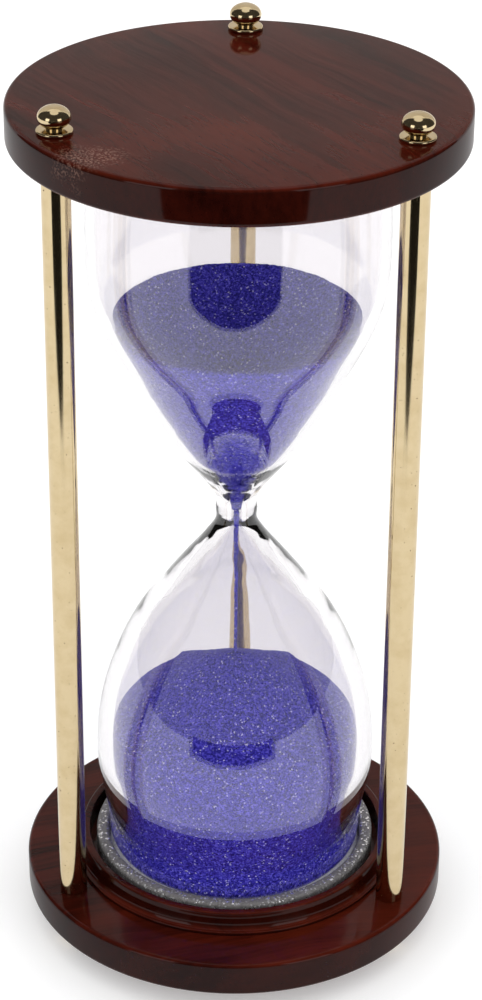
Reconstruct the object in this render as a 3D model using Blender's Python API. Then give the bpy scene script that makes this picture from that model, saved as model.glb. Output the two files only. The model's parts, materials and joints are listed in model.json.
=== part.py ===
"""Hourglass: a blown glass with blue sand, held between two round hardwood plates by three brass posts.

Everything stands on the Z axis with +Z up. The origin is on the axis, level with the flats under the
three foot knobs. Each end of the frame is built once in its own end frame, which starts at those flats
and runs inwards, and the upper end is the same end turned over.
"""

import math

import bmesh
import bpy

# Overall sizes, in metres.
PLATE_DIAMETER = 0.100
PLATE_THICKNESS = 0.0085
CLEAR_HEIGHT = 0.183  # between the facing sides of the two plates
CLEARANCE = 0.0003  # left between pieces that touch or fit

# Plates.
PLATE_EDGE_RADIUS = 0.0011

# Posts, tie rods, washers and knobs.
POST_NAMES = ("back", "front_left", "front_right")  # in order round the axis, anticlockwise from above
POST_DIAMETER = 0.00635
POST_INSET = 0.0068  # from the plate's rim to a post's axis
TIE_ROD_DIAMETER = 0.0025
TIE_ROD_CHAMFER = 0.0004
WASHER_DIAMETER = 0.0079
WASHER_THICKNESS = 0.0006
WASHER_EDGE_RADIUS = 0.00015
KNOB_DIAMETER = 0.0073
KNOB_ROUND_HEIGHT = 0.0050  # of the whole flattened ball, before its neck cuts it off
KNOB_NECK_LENGTH = 0.0002
KNOB_NECK_WALL = 0.0005  # around the tapped hole
KNOB_HOLE_DEPTH = 0.0031
KNOB_FLAT_DIAMETER = 0.0020

# Turned ring that stands on each plate and holds the glass in the middle.
RING_HEIGHT = 0.0050
RING_TO_POST = 0.0012
RING_FLARE = 0.0020  # from the land out to the foot
RING_LAND = 0.0019
RING_FOOT_HEIGHT = 0.0009
RING_EDGE_RADIUS = 0.0004

# Gasket in each ring, and pad under the glass. The upper end of the glass is the wider one.
GASKET_GAP = {"base": 0.0016, "top": 0.0003}  # to the inside of the ring
GASKET_WIDTH = {"base": 0.0030, "top": 0.0012}
GASKET_EDGE_RADIUS = {"base": 0.0010, "top": 0.0004}
PAD_THICKNESS = 0.0012
PAD_INSET = 0.0020  # from the inside of the gasket

# Glass, one blown piece. Its two bulbs differ a little, as hand work does.
NECK_DIAMETER = 0.0096
NECK_BORE = 0.0026
NECK_RISE = 0.0013  # of the neck above the middle of the frame
NECK_WALL_REACH = 0.030  # how far up or down the thick wall of the neck fades out
LOWER_SWELL = 0.0028  # of the belly beyond the glass's end
UPPER_SWELL = 0.0004
LOWER_WALL = 0.0036
UPPER_WALL = 0.0022
LOWER_FLOOR = 0.0016  # thickness of the flat end under the sand
UPPER_FLOOR = 0.0022
END_RADIUS = 0.0045
LEAST_INNER_END_RADIUS = 0.0009
FILL_HOLE_DIAMETER = 0.0090
FILL_PLUG_DEPTH = 0.0050
FILL_PLUG_TIP = 0.9  # share of the plug's radius that is left at its tip
BULB_STEPS = 12  # rows of points between the neck and a bulb's end
BULB_CROWDING = 1.5  # above 1, the rows crowd towards the neck
BULB_SLOPE_REACH = 0.0005  # how far up and down the wall its slope is measured
# (share of the way from the neck to the end, share of the way from the neck's radius to the belly's)
LOWER_SHAPE = (
    (0.00, 0.00), (0.036, 0.00), (0.086, 0.10), (0.154, 0.27), (0.236, 0.465),
    (0.319, 0.655), (0.429, 0.825), (0.566, 0.957), (0.703, 1.00),
)
UPPER_SHAPE = (
    (0.00, 0.00), (0.037, 0.00), (0.096, 0.115), (0.181, 0.313), (0.294, 0.521),
    (0.407, 0.705), (0.520, 0.878), (0.605, 0.966), (0.680, 0.995), (0.780, 1.00),
)

# Sand.
REPOSE_ANGLE = math.radians(31)  # slope of the heap and of the crater
UPPER_SAND_HEIGHT = 0.0480  # of the crater's rim above the middle of the neck
LOWER_SAND_DEPTH = 0.0341  # of the heap's rim above the glass's inner floor
SAND_TIP_RADIUS = 0.0006
STREAM_DIAMETER = 0.0013

# How finely round shapes are made.
SMOOTH_ANGLE = math.radians(35)  # edges that turn further than this stay sharp
PLATE_SIDES = 64
GLASS_SIDES = 40
POST_SIDES = 24
KNOB_SIDES = 16
ROD_SIDES = 12
ARC_STEPS = 2
KNOB_ARC_STEPS = 6

# Worked out from the sizes above.
plate_radius = PLATE_DIAMETER / 2
post_circle_radius = plate_radius - POST_INSET
ring_foot_radius = post_circle_radius - POST_DIAMETER / 2 - RING_TO_POST
ring_land_radius = ring_foot_radius - RING_FLARE
ring_inner_radius = ring_land_radius - RING_LAND
gasket_outer_radius = {end: ring_inner_radius - gap for end, gap in GASKET_GAP.items()}
gasket_inner_radius = {end: gasket_outer_radius[end] - width for end, width in GASKET_WIDTH.items()}
glass_end_radius = {end: radius - CLEARANCE for end, radius in gasket_inner_radius.items()}
neck_radius = NECK_DIAMETER / 2
bore_radius = NECK_BORE / 2
rod_hole_radius = TIE_ROD_DIAMETER / 2 + CLEARANCE
knob_neck_radius = rod_hole_radius + KNOB_NECK_WALL

knob_ratio = KNOB_ROUND_HEIGHT / KNOB_DIAMETER
knob_centre_to_neck = knob_ratio * math.sqrt((KNOB_DIAMETER / 2) ** 2 - knob_neck_radius ** 2)
knob_centre_to_flat = knob_ratio * math.sqrt((KNOB_DIAMETER / 2) ** 2 - (KNOB_FLAT_DIAMETER / 2) ** 2)
knob_height = knob_centre_to_flat + knob_centre_to_neck + KNOB_NECK_LENGTH

# Heights in an end frame, from the flats of the knobs inwards.
washer_level = knob_height + CLEARANCE
plate_level = washer_level + WASHER_THICKNESS + CLEARANCE
face_level = plate_level + PLATE_THICKNESS
seat_level = face_level + CLEARANCE
glass_level = seat_level + PAD_THICKNESS + CLEARANCE

total_height = CLEAR_HEIGHT + 2 * face_level
neck_level = total_height / 2 + NECK_RISE
lower_length = neck_level - glass_level
upper_length = total_height - glass_level - neck_level


def finish(name, colour, roughness, metallic=0.0, transmission=0.0):
    """A plain material for one sub-part."""
    material = bpy.data.materials.new(name)
    material.use_nodes = True
    shader = material.node_tree.nodes["Principled BSDF"]
    shader.inputs["Base Color"].default_value = (*colour, 1.0)
    shader.inputs["Roughness"].default_value = roughness
    shader.inputs["Metallic"].default_value = metallic
    shader.inputs["Transmission Weight"].default_value = transmission
    return material


def place(name, mesh, material, parent=None, location=(0, 0, 0)):
    """Puts a mesh in the scene as a named object, shaded smooth but for its sharp edges."""
    mesh.shade_smooth()
    mesh.set_sharp_from_angle(angle=SMOOTH_ANGLE)
    mesh.materials.append(material)
    piece = bpy.data.objects.new(name, mesh)
    piece.parent = parent
    piece.location = location
    bpy.context.scene.collection.objects.link(piece)
    return piece


def turned_mesh(name, outline, sides, hollow=False):
    """Turns an outline of (radius, height) points about Z.

    A hollow outline closes on itself, as a ring's or a tube's does. Any other outline runs from one flat
    end to the other, and each end is filled with one flat face.
    """
    shape = bmesh.new()
    points = [shape.verts.new((radius, 0, height)) for radius, height in outline]
    lines = [shape.edges.new(pair) for pair in zip(points, points[1:])]
    if hollow:
        lines.append(shape.edges.new((points[-1], points[0])))
    bmesh.ops.spin(
        shape, geom=points + lines, cent=(0, 0, 0), axis=(0, 0, 1),
        angle=math.tau, steps=sides, use_merge=True,
    )
    if not hollow:
        bmesh.ops.holes_fill(shape, edges=shape.edges, sides=0)
    bmesh.ops.recalc_face_normals(shape, faces=shape.faces)
    mesh = bpy.data.meshes.new(name)
    shape.to_mesh(mesh)
    shape.free()
    return mesh


def arc(centre_radius, centre_height, radius, start, end, steps=ARC_STEPS):
    """Points along an arc of an outline. Angles are in degrees, from straight out towards up."""
    points = []
    for step in range(steps + 1):
        angle = math.radians(start + (end - start) * step / steps)
        points.append((centre_radius + radius * math.cos(angle), centre_height + radius * math.sin(angle)))
    return points


def smooth_through(points, along):
    """The height at `along` of a smooth curve through points in rising order."""
    last = len(points) - 1
    index = max(i for i in range(last) if points[i][0] <= along)

    def slope(at):
        before = points[max(at - 1, 0)]
        after = points[min(at + 1, last)]
        return (after[1] - before[1]) / (after[0] - before[0])

    (x0, y0), (x1, y1) = points[index], points[index + 1]
    width = x1 - x0
    t = min((along - x0) / width, 1.0)
    start_slope = 0.0 if index == 0 else slope(index)
    end_slope = 0.0 if index + 1 == last else slope(index + 1)
    return (
        y0 * (2 * t ** 3 - 3 * t ** 2 + 1)
        + y1 * (3 * t ** 2 - 2 * t ** 3)
        + width * start_slope * (t ** 3 - 2 * t ** 2 + t)
        + width * end_slope * (t ** 3 - t ** 2)
    )


class Bulb:
    """One bulb of the glass. Distances run from the middle of the neck towards the bulb's end."""

    def __init__(self, shape, length, end_radius, swell, wall, end_thickness):
        self.shape = shape
        self.length = length
        self.end_radius = end_radius
        self.belly_radius = end_radius + swell
        self.wall = wall
        self.straight_length = length - END_RADIUS
        self.floor = length - end_thickness
        self.belly_end = shape[-1][0] * length

    def outer_radius(self, distance):
        share = distance / self.length
        belly_share = self.shape[-1][0]
        if share < belly_share:
            swollen = smooth_through(self.shape, share)
            return neck_radius + swollen * (self.belly_radius - neck_radius)
        along = (share - belly_share) / (self.straight_length / self.length - belly_share)
        fall = (1 - math.cos(math.pi * min(along, 1.0))) / 2
        return self.belly_radius - fall * (self.belly_radius - self.end_radius)

    def inner_radius(self, distance):
        above = distance + BULB_SLOPE_REACH
        below = max(distance - BULB_SLOPE_REACH, 0)
        rise = self.outer_radius(above) - self.outer_radius(below)
        lean = math.hypot(1, rise / (2 * BULB_SLOPE_REACH))
        fade = max(0.0, 1 - distance / NECK_WALL_REACH)
        thickness = self.wall + (neck_radius - bore_radius - self.wall) * fade ** 2
        return max(bore_radius, self.outer_radius(distance) - thickness * lean)

    def distances(self, end):
        """Where the rows of an outline's points lie, from the middle of the neck to `end`."""
        rows = [end * (step / BULB_STEPS) ** BULB_CROWDING for step in range(BULB_STEPS + 1)]
        return sorted(rows + [self.belly_end])

    def outer_outline(self):
        """(radius, distance) from the middle of the neck to the edge of the flat end."""
        points = [(self.outer_radius(d), d) for d in self.distances(self.straight_length)]
        return points + arc(self.end_radius - END_RADIUS, self.straight_length, END_RADIUS, 0, 90)[1:]

    def inner_outline(self):
        """(radius, distance) from the middle of the neck to the edge of the flat floor."""
        corner = max(END_RADIUS - self.wall, LEAST_INNER_END_RADIUS)
        straight = self.floor - corner
        points = [(self.inner_radius(d), d) for d in self.distances(straight)]
        side = points[-1][0]
        return points + arc(side - corner, straight, corner, 0, 90)[1:]


def make_plate(end, name, material, drill):
    edge = PLATE_EDGE_RADIUS
    outline = arc(plate_radius - edge, plate_level + edge, edge, -90, 0)
    outline += arc(plate_radius - edge, face_level - edge, edge, 0, 90)
    plate = place(name, turned_mesh(name, outline, PLATE_SIDES), material, end)
    holes = plate.modifiers.new("post holes", "BOOLEAN")
    holes.operation = "DIFFERENCE"
    holes.solver = "EXACT"
    holes.object = drill


def make_drill(end, name):
    """The cutter for one plate's three holes. It stands out beyond both sides of the plate."""
    shape = bmesh.new()
    for x, y in post_places():
        made = bmesh.ops.create_cone(
            shape, cap_ends=True, segments=ROD_SIDES, depth=3 * PLATE_THICKNESS,
            radius1=rod_hole_radius, radius2=rod_hole_radius,
        )
        bmesh.ops.translate(shape, verts=made["verts"], vec=(x, y, (plate_level + face_level) / 2))
    mesh = bpy.data.meshes.new(name)
    shape.to_mesh(mesh)
    shape.free()
    drill = bpy.data.objects.new(name, mesh)
    drill.parent = end
    drill.hide_render = True
    drill.display_type = "WIRE"
    bpy.context.scene.collection.objects.link(drill)
    return drill


def make_ring(end, name, material):
    top = seat_level + RING_HEIGHT - CLEARANCE
    foot_top = seat_level + RING_FOOT_HEIGHT
    edge = RING_EDGE_RADIUS
    outline = [(ring_inner_radius, seat_level), (ring_foot_radius, seat_level)]
    outline += [(ring_foot_radius, foot_top), (ring_land_radius + edge, foot_top + edge)]
    outline += arc(ring_land_radius - edge, top - edge, edge, 0, 90)
    outline += arc(ring_inner_radius + edge, top - edge, edge, 90, 180)
    place(name, turned_mesh(name, outline, GLASS_SIDES, hollow=True), material, end)


def make_gasket(end, where, material):
    top = seat_level + RING_HEIGHT - CLEARANCE
    edge = GASKET_EDGE_RADIUS[where]
    inner = gasket_inner_radius[where]
    outer = gasket_outer_radius[where]
    outline = [(inner, seat_level), (outer, seat_level)]
    outline += arc(outer - edge, top - edge, edge, 0, 90)
    outline += arc(inner + edge, top - edge, edge, 90, 180)
    name = f"{where}_gasket"
    place(name, turned_mesh(name, outline, GLASS_SIDES, hollow=True), material, end)


def make_pad(end, where, material):
    radius = gasket_inner_radius[where] - PAD_INSET
    name = f"{where}_pad"
    outline = [(radius, seat_level), (radius, seat_level + PAD_THICKNESS)]
    place(name, turned_mesh(name, outline, GLASS_SIDES), material, end)


def make_washer_mesh():
    low = washer_level
    high = washer_level + WASHER_THICKNESS
    edge = WASHER_EDGE_RADIUS
    radius = WASHER_DIAMETER / 2
    outline = [
        (rod_hole_radius, low), (radius - edge, low), (radius, low + edge),
        (radius, high - edge), (radius - edge, high), (rod_hole_radius, high),
    ]
    return turned_mesh("washer", outline, KNOB_SIDES, hollow=True)


def make_knob_mesh():
    """A flattened ball on a short neck, with a blind tapped hole. Its small flat is at height 0."""
    centre = knob_centre_to_flat
    start = math.degrees(math.acos(KNOB_FLAT_DIAMETER / KNOB_DIAMETER))
    end = math.degrees(math.acos(2 * knob_neck_radius / KNOB_DIAMETER))
    ball = arc(0, 0, KNOB_DIAMETER / 2, -start, end, KNOB_ARC_STEPS)
    outline = [(radius, centre + height * knob_ratio) for radius, height in ball]
    outline += [(knob_neck_radius, knob_height), (rod_hole_radius, knob_height)]
    outline += [(rod_hole_radius, knob_height - KNOB_HOLE_DEPTH)]
    return turned_mesh("knob", outline, KNOB_SIDES)


def post_places():
    """The three posts' axes: one at the back and one at each side of the front."""
    places = []
    for index in range(len(POST_NAMES)):
        angle = math.radians(90) + math.tau * index / len(POST_NAMES)
        places.append((post_circle_radius * math.cos(angle), post_circle_radius * math.sin(angle)))
    return places


def make_end(end, where, knob_word, finishes):
    """One end of the frame: its plate, ring, gasket, pad, washers and knobs."""
    drill = make_drill(end, f"{where}_drill")
    make_plate(end, f"{where}_plate", finishes["plate"], drill)
    make_ring(end, f"{where}_ring", finishes["ring"])
    make_gasket(end, where, finishes["gasket"])
    make_pad(end, where, finishes["pad"])
    for place_name, (x, y) in zip(POST_NAMES, post_places()):
        # A turned-over end swaps left and right.
        side = -1 if where == "top" else 1
        location = (side * x, y, 0)
        place(f"{where}_washer_{place_name}", make_washer_mesh(), finishes["brass"], end, location)
        place(f"{knob_word}_{place_name}", make_knob_mesh(), finishes["brass"], end, location)


def make_posts(finishes):
    post_low = face_level + CLEARANCE
    post_high = total_height - post_low
    radius = POST_DIAMETER / 2
    rod_low = knob_height - KNOB_HOLE_DEPTH + CLEARANCE
    rod_high = total_height - rod_low
    rod_radius = TIE_ROD_DIAMETER / 2
    for place_name, (x, y) in zip(POST_NAMES, post_places()):
        tube = [
            (rod_hole_radius, post_low), (radius, post_low),
            (radius, post_high), (rod_hole_radius, post_high),
        ]
        name = f"post_{place_name}"
        place(name, turned_mesh(name, tube, POST_SIDES, hollow=True), finishes["brass"], None, (x, y, 0))
        rod = [
            (rod_radius - TIE_ROD_CHAMFER, rod_low), (rod_radius, rod_low + TIE_ROD_CHAMFER),
            (rod_radius, rod_high - TIE_ROD_CHAMFER), (rod_radius - TIE_ROD_CHAMFER, rod_high),
        ]
        name = f"tie_rod_{place_name}"
        place(name, turned_mesh(name, rod, ROD_SIDES), finishes["steel"], None, (x, y, 0))


def make_glass(lower, upper, material):
    hole_radius = FILL_HOLE_DIAMETER / 2
    outside = [(r, neck_level - d) for r, d in reversed(lower.outer_outline())]
    outside += [(r, neck_level + d) for r, d in upper.outer_outline()[1:]]
    inside = [(r, neck_level + d) for r, d in reversed(upper.inner_outline())]
    inside += [(r, neck_level - d) for r, d in lower.inner_outline()[1:]]
    mouth = [(hole_radius, neck_level + upper.length), (hole_radius, neck_level + upper.floor)]
    place("glass", turned_mesh("glass", outside + mouth + inside, GLASS_SIDES), material)


def make_fill_plug(upper, material):
    radius = FILL_HOLE_DIAMETER / 2 - CLEARANCE
    top = neck_level + upper.length
    outline = [(radius, top), (radius, top - UPPER_FLOOR), (radius * FILL_PLUG_TIP, top - FILL_PLUG_DEPTH)]
    place("fill_plug", turned_mesh("fill_plug", outline, ROD_SIDES * 2), material)


def make_upper_sand(upper, material):
    """Sand in the upper bulb, from the neck's bore up to a crater."""
    inside = [(r, d) for r, d in upper.inner_outline() if d < UPPER_SAND_HEIGHT]
    side = [(r - CLEARANCE, neck_level + d) for r, d in inside]
    rim_radius = upper.inner_radius(UPPER_SAND_HEIGHT) - CLEARANCE
    side.append((rim_radius, neck_level + UPPER_SAND_HEIGHT))
    depth = (rim_radius - SAND_TIP_RADIUS) * math.tan(REPOSE_ANGLE)
    crater = [(SAND_TIP_RADIUS, neck_level + UPPER_SAND_HEIGHT - depth)]
    place("upper_sand", turned_mesh("upper_sand", side + crater, GLASS_SIDES), material)


def heap_rim(lower):
    """(radius, level) of the edge of the heap in the lower bulb."""
    distance = lower.floor - LOWER_SAND_DEPTH
    return lower.inner_radius(distance) - CLEARANCE, neck_level - distance


def heap_tip_level(lower):
    rim_radius, rim_level = heap_rim(lower)
    return rim_level + (rim_radius - SAND_TIP_RADIUS) * math.tan(REPOSE_ANGLE)


def make_lower_sand(lower, material):
    """Sand in the lower bulb, heaped under the neck."""
    inside = lower.inner_outline()
    rim_distance = lower.floor - LOWER_SAND_DEPTH
    below = [(r, d) for r, d in inside if d > rim_distance]
    outline = [(r - CLEARANCE, neck_level - d + CLEARANCE) for r, d in reversed(below)]
    outline += [heap_rim(lower), (SAND_TIP_RADIUS, heap_tip_level(lower))]
    place("lower_sand", turned_mesh("lower_sand", outline, GLASS_SIDES), material)


def make_stream(lower, material):
    """The thread of falling sand between the neck and the heap."""
    radius = STREAM_DIAMETER / 2
    top = neck_level - CLEARANCE
    bottom = heap_tip_level(lower) + CLEARANCE
    outline = [(radius, bottom), (radius, top)]
    place("sand_stream", turned_mesh("sand_stream", outline, ROD_SIDES), material)


def clear_scene():
    for item in list(bpy.data.objects):
        bpy.data.objects.remove(item, do_unlink=True)


def main():
    clear_scene()
    brass = finish("brass", (0.80, 0.62, 0.32), 0.18, metallic=1.0)
    sand = finish("sand", (0.13, 0.10, 0.55), 0.75)
    finishes = {
        "plate": finish("plate_wood", (0.13, 0.045, 0.028), 0.25),
        "ring": finish("ring_wood", (0.11, 0.035, 0.022), 0.30),
        "gasket": finish("gasket_foam", (0.48, 0.48, 0.48), 0.60),
        "pad": finish("pad_felt", (0.30, 0.30, 0.30), 0.95),
        "brass": brass,
        "steel": finish("rod_steel", (0.55, 0.55, 0.56), 0.35, metallic=1.0),
    }

    base = bpy.data.objects.new("base_end", None)
    top = bpy.data.objects.new("top_end", None)
    top.location = (0, 0, total_height)
    top.rotation_euler = (0, math.pi, 0)
    for end in (base, top):
        bpy.context.scene.collection.objects.link(end)
    make_end(base, "base", "foot_knob", finishes)
    make_end(top, "top", "top_knob", finishes)
    make_posts(finishes)

    lower = Bulb(LOWER_SHAPE, lower_length, glass_end_radius["base"], LOWER_SWELL, LOWER_WALL, LOWER_FLOOR)
    upper = Bulb(UPPER_SHAPE, upper_length, glass_end_radius["top"], UPPER_SWELL, UPPER_WALL, UPPER_FLOOR)
    make_glass(lower, upper, finish("clear_glass", (0.95, 0.97, 0.96), 0.02, transmission=1.0))
    make_fill_plug(upper, finish("plug_cork", (0.50, 0.36, 0.22), 0.85))
    make_upper_sand(upper, sand)
    make_lower_sand(lower, sand)
    make_stream(lower, sand)


main()
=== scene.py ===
"""Hourglass: the looks of its hardwood, brass, glass and sand, built round the packed frame.

The packed model gives every place and outer size. Each operator below makes one piece, or one group of
like pieces, in the frame's own metres, and makes it ride on the body that it belongs to.
"""

import json
import math

import bmesh
import bpy
import numpy as np
from bpy.props import FloatProperty, FloatVectorProperty, PointerProperty
from mathutils import Matrix, Vector, noise

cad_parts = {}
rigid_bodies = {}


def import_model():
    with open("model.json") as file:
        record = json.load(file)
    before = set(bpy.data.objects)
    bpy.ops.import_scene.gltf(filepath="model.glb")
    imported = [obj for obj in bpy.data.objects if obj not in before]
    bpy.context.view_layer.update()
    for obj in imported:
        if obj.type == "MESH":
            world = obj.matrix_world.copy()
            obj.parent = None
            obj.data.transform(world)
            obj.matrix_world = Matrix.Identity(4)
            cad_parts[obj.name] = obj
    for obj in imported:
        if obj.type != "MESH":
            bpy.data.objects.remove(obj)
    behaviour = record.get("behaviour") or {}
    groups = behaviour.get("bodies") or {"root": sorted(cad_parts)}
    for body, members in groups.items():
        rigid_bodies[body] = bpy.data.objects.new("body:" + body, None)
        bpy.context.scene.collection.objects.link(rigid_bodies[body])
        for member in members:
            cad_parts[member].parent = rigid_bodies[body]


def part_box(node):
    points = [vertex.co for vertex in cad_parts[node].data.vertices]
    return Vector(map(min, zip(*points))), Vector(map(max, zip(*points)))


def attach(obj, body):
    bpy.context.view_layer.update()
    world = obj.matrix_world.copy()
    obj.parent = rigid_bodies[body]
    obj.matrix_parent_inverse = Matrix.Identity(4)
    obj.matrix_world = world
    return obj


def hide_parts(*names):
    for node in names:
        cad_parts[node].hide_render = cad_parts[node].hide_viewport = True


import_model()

bl_info = {
    "name": "Hourglass Maker",
    "version": (1, 0, 0),
    "blender": (4, 5, 0),
    "location": "View3D > Sidebar > Hourglass",
    "description": "Builds an hourglass's wood, brass, glass and sand round its packed frame",
    "category": "Add Mesh",
}

POST_NAMES = ("back", "front_left", "front_right")
ENDS = ("base", "top")
FRAME_BODY = "frame"

# (share of the way from the neck to the end, share of the way from the neck's radius to the belly's)
LOWER_SHAPE = (
    (0.00, 0.00), (0.036, 0.00), (0.086, 0.10), (0.154, 0.27), (0.236, 0.465),
    (0.319, 0.655), (0.429, 0.825), (0.566, 0.957), (0.703, 1.00),
)
UPPER_SHAPE = (
    (0.00, 0.00), (0.037, 0.00), (0.096, 0.115), (0.181, 0.313), (0.294, 0.521),
    (0.407, 0.705), (0.520, 0.878), (0.605, 0.966), (0.680, 0.995), (0.780, 1.00),
)

# Small edges and fits that nobody is likely to change. Lengths are in metres.
BORE_FIT = 1.1  # a bore's radius as a share of its tie rod's
RING_FOOT_BEVEL = 0.00012
RING_FOOT_EDGE = 0.0003
RING_LIP_EDGE = 0.0004
RING_LAND_EDGE = 0.0006
COVE_INSET = 0.0006  # from the foot's rim to the start of the cove
COVE_TAPER = 0.0009  # how much less than the flare the cove narrows
COVE_DROP = 0.0011  # from the land down to the cove's top
COVE_STEPS = 12
LUMP = 0.00008  # how far the gasket's top is lumpy
LUMP_REACH = 0.0020  # how far below the gasket's top the lumps fade out
FUZZ = 0.00006  # how far the felt's edge is fuzzy
POST_EDGE = 0.00025
POST_WANDER = 0.0016  # share of a post's radius that polishing left uneven
PLUG_EDGE = 0.0004
PLUG_TIP_SHARE = 0.9
PLUG_PIT = 0.06  # depth of the cork's pits as a share of its radius
KNOB_BORE_SHARE = 0.62  # depth of a knob's blind hole as a share of its height
THREADED_SHARE = 0.12  # share of a tie rod's length that is threaded at each end
THREAD_CUT = 0.55  # depth of a thread as a share of its pitch
HIDDEN_OVERLAP = 0.0006  # how far the falling thread runs into the heap
NEAR_AXIS = 0.001  # points nearer the axis than this are not moved

# Seeds of the random draws.
GASKET_SEED = 41
FELT_SEED = 23
UPPER_SAND_SEED = 7
LOWER_SAND_SEED = 11
THREAD_SEED = 5


# ---------------------------------------------------------------- places and sizes from the frame


def low(node):
    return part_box(node)[0]


def high(node):
    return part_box(node)[1]


def middle(node):
    return (low(node) + high(node)) / 2


def width(node):
    return high(node).x - low(node).x


def far_level(node, way):
    """The level of the side of a node that points up, for 1, or down, for -1."""
    return high(node).z if way > 0 else low(node).z


def rod_bore():
    """The radius of the holes that the tie rods pass through."""
    return width("tie_rod_back") / 2 * BORE_FIT


def face_level(end):
    """The height of the side of a plate that faces the glass."""
    return high("base_plate").z if end == "base" else low("top_plate").z


def inwards(end):
    """Which way is inwards from an end: up from the base, down from the top."""
    return 1 if end == "base" else -1


def gasket_inside(end, soft):
    """The radius of the hole through a gasket."""
    return width(f"{end}_gasket") / 2 - getattr(soft, f"{end}_gasket_width")


# ---------------------------------------------------------------- settings


def length(name, about, default):
    return FloatProperty(
        name=name, description=about, default=default, min=0.0, unit="LENGTH", precision=5,
    )


def colour(name, about, default):
    return FloatVectorProperty(
        name=name, description=about, default=default, size=3, min=0.0, max=1.0, subtype="COLOR",
    )


def share(name, about, default, most=1.0):
    return FloatProperty(name=name, description=about, default=default, min=0.0, max=most)


def angle(name, about, default):
    return FloatProperty(name=name, description=about, default=math.radians(default), subtype="ANGLE")


class HourglassWood(bpy.types.PropertyGroup):
    """The plates and the turned rings."""

    plate_edge: length("Plate edge", "Radius of the plates' rounded edges", 0.0011)
    ring_land: length("Ring land", "Width of the flat top of a turned ring", 0.0019)
    ring_flare: length("Ring flare", "How far a ring widens from its land to its foot", 0.0020)
    ring_foot: length("Ring foot", "Height of the small step at a ring's foot", 0.0009)
    heart_colour: colour("Heartwood", "Colour of the wood between dark streaks", (0.058, 0.0068, 0.0032))
    streak_colour: colour("Streaks", "Colour of the wood's dark streaks", (0.015, 0.0020, 0.0012))
    flame_colour: colour("Flame", "Colour of the wood's warm patches", (0.100, 0.0130, 0.0042))
    grain_turn: angle("Grain direction", "Angle of the grain from the X axis, seen from above", -55.0)
    polish: share("Lacquer roughness", "Roughness of the lacquer", 0.07)


class HourglassMetal(bpy.types.PropertyGroup):
    """The posts, washers, knobs and tie rods."""

    brass_colour: colour("Brass", "Colour of polished brass", (0.62, 0.50, 0.305))
    aged_colour: colour("Aged brass", "Colour of the brass where it has dulled", (0.41, 0.285, 0.12))
    steel_colour: colour("Steel", "Colour of the plated tie rods", (0.55, 0.55, 0.56))
    polish: share("Brass roughness", "Roughness of the polished brass", 0.10)
    knob_neck: length("Knob neck", "Height of the neck under a knob's ball", 0.0004)
    knob_neck_wall: length("Knob neck wall", "Thickness of the neck's wall", 0.0005)
    knob_flat: length("Knob flat", "Diameter of the flat at a knob's crown", 0.0020)
    thread_pitch: length("Thread pitch", "Distance from one thread of a tie rod to the next", 0.0005)


class HourglassGlass(bpy.types.PropertyGroup):
    """The blown glass and the cork that closes it."""

    neck_diameter: length("Neck", "Outer diameter of the neck", 0.0096)
    neck_bore: length("Bore", "Diameter of the hole through the neck", 0.0026)
    neck_rise: length("Neck rise", "How far the neck lies above the middle", 0.0013)
    neck_reach: length("Neck wall reach", "How far the neck's thick wall fades out", 0.017)
    lower_swell: length("Lower belly", "How far the lower belly stands out beyond the glass's end", 0.0028)
    upper_swell: length("Upper belly", "How far the upper belly stands out beyond the glass's end", 0.0004)
    lower_wall: length("Lower wall", "Thickness of the lower bulb's wall", 0.0036)
    upper_wall: length("Upper wall", "Thickness of the upper bulb's wall", 0.0022)
    lower_floor: length("Lower floor", "Thickness of the flat end under the sand", 0.0016)
    upper_floor: length("Upper floor", "Thickness of the upper bulb's flat end", 0.0022)
    end_radius: length("End corner", "Radius of the corners at the glass's ends", 0.0045)
    fill_hole: length("Fill hole", "Diameter of the hole that the glass is filled through", 0.0090)
    waviness: length("Waviness", "How far the blown surface strays from a turned one", 0.00006)
    tint: colour("Tint", "Colour of light that has passed the glass", (0.885, 0.867, 0.885))
    cork_colour: colour("Cork", "Colour of the cork", (0.50, 0.34, 0.19))


class HourglassSand(bpy.types.PropertyGroup):
    """The sand and its thread between the bulbs."""

    deep_colour: colour("Deep grains", "Colour of the darkest grains", (0.006, 0.004, 0.130))
    body_colour: colour("Body grains", "Colour of most of the grains", (0.034, 0.026, 0.400))
    pale_colour: colour("Pale grains", "Colour of the palest grains", (0.135, 0.115, 0.740))
    grain: length("Grain", "Size of a grain", 0.00032)
    step: length("Surface step", "Distance between points of the sand's surface", 0.00042)
    roughness: length("Grain relief", "How far grains stand out of the sand's surface", 0.00008)
    depth: length("Depth", "Height of the heap's rim over the glass's floor", 0.0341)
    slope: angle("Slope", "Slope of the heap and of the crater", 31.0)
    gap: length("Gap", "Gap between the sand and the glass", 0.00015)
    pressed_depth: length("Pressed depth", "Height of the sand that is pressed against the glass", 0.0110)


class HourglassSoft(bpy.types.PropertyGroup):
    """The foam gaskets and the felt pads."""

    base_gasket_width: length("Base gasket width", "Width of the lower gasket", 0.0030)
    top_gasket_width: length("Top gasket width", "Width of the upper gasket", 0.0012)
    base_gasket_edge: length("Base gasket edge", "Radius of the lower gasket's edges", 0.0010)
    top_gasket_edge: length("Top gasket edge", "Radius of the upper gasket's edges", 0.0004)
    pad_gap: length("Pad gap", "Gap between a pad's edge and the gasket round it", 0.0003)
    foam_colour: colour("Foam", "Colour of the gaskets", (0.19, 0.18, 0.18))
    glitter_colour: colour("Glitter", "Colour of the flakes in the gaskets", (0.85, 0.85, 0.86))
    felt_colour: colour("Felt", "Colour of the pads", (0.60, 0.60, 0.60))


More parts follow.
